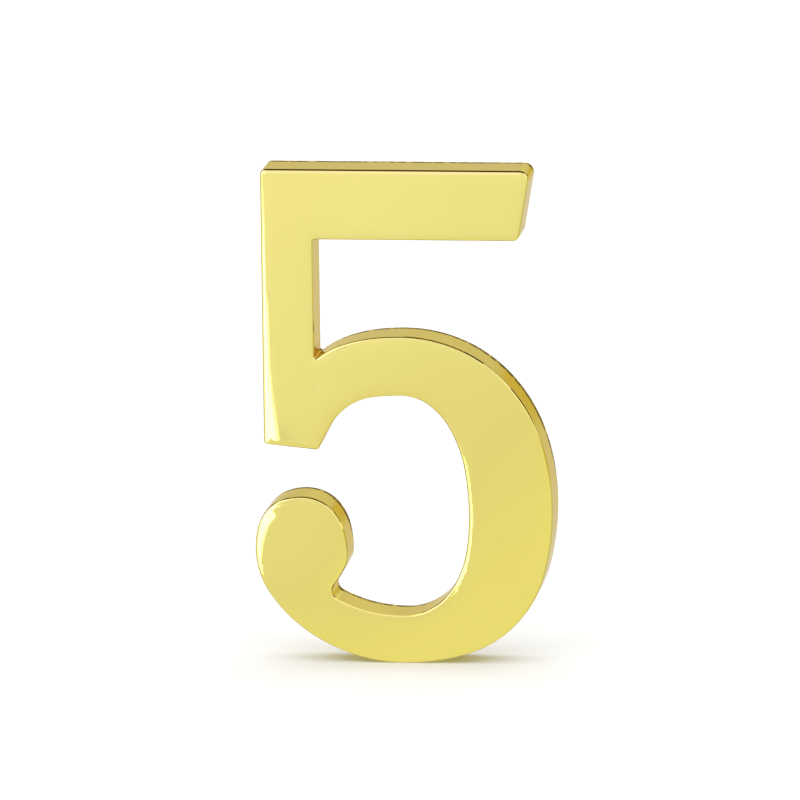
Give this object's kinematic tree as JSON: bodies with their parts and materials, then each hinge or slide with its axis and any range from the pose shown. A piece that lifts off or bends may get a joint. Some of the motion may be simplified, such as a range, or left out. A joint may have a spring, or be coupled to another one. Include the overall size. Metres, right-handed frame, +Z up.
{
  "type": "house number",
  "caption": "Polished gold numeral five for a door or wall, cast in one piece with a slab bar, a round bowl and a ball terminal, fixed by its flat back.",
  "frame": {"origin": "middle of the rectangle that the flat back fills, in the plane of the back", "axes": "+Z up the numeral, +X to the reader's right, +Y into the door or wall; the face is read from -Y"},
  "size_m": [0.03, 0.005, 0.05],
  "materials": {
    "gold_plate": "mirror polished, gold plated"
  },
  "bodies": {
    "root": {"numeral": "gold_plate"}
  },
  "joints": []
}
